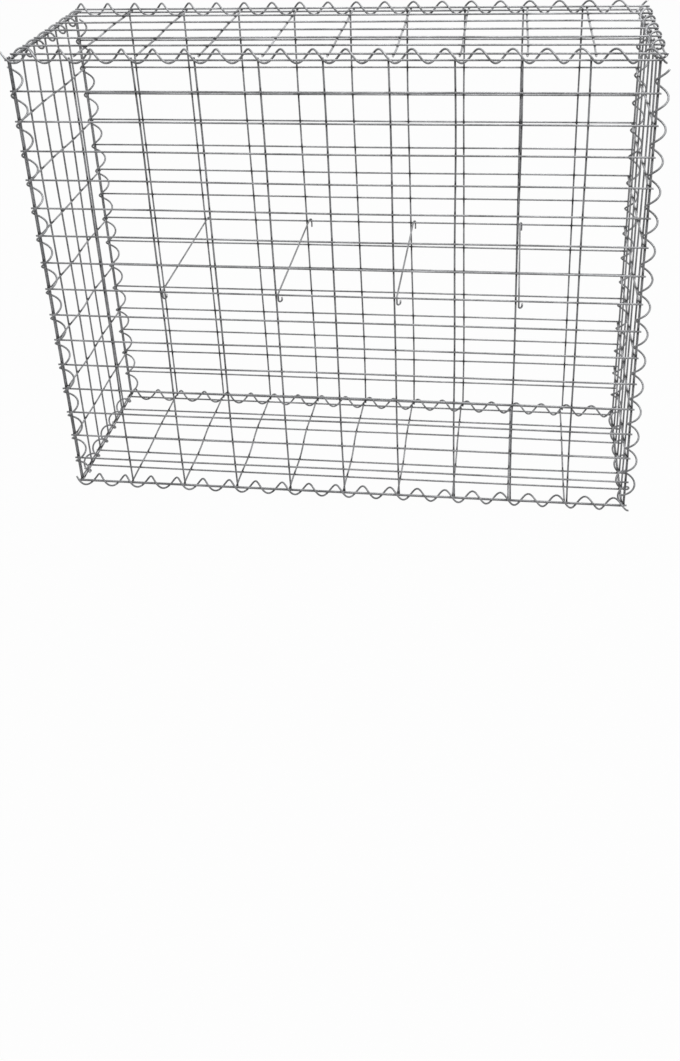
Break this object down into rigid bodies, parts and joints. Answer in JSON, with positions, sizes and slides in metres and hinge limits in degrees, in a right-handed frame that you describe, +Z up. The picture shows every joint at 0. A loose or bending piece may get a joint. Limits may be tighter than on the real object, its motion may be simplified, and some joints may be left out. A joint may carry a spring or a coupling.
{
  "type": "gabion basket",
  "caption": "Empty welded-mesh gabion basket for a stone-filled wall, closed by a mesh lid, laced along every edge with spiral binders and held front to back by hooked ties.",
  "frame": {"origin": "centre of the outline's underside, on the floor that the lowest spiral rests on", "axes": "+X along the long front from left to right, +Y from the front panel to the back panel, +Z up"},
  "size_m": [1.0338, 0.3368, 0.8339],
  "materials": {
    "galvanised_mesh": "dull galvanised",
    "galvanised_spiral": "dull galvanised",
    "galvanised_tie": "dull galvanised"
  },
  "bodies": {
    "root": {"front_panel": "galvanised_mesh", "back_panel": "galvanised_mesh", "left_end_panel": "galvanised_mesh", "right_end_panel": "galvanised_mesh", "lid_panel": "galvanised_mesh", "base_panel": "galvanised_mesh", "top_front_spiral": "galvanised_spiral", "top_back_spiral": "galvanised_spiral", "top_left_spiral": "galvanised_spiral", "top_right_spiral": "galvanised_spiral", "bottom_front_spiral": "galvanised_spiral", "bottom_back_spiral": "galvanised_spiral", "bottom_left_spiral": "galvanised_spiral", "bottom_right_spiral": "galvanised_spiral", "front_left_spiral": "galvanised_spiral", "front_right_spiral": "galvanised_spiral", "back_left_spiral": "galvanised_spiral", "back_right_spiral": "galvanised_spiral", "tie_1": "galvanised_tie", "tie_2": "galvanised_tie", "tie_3": "galvanised_tie", "tie_4": "galvanised_tie"}
  },
  "joints": []
}
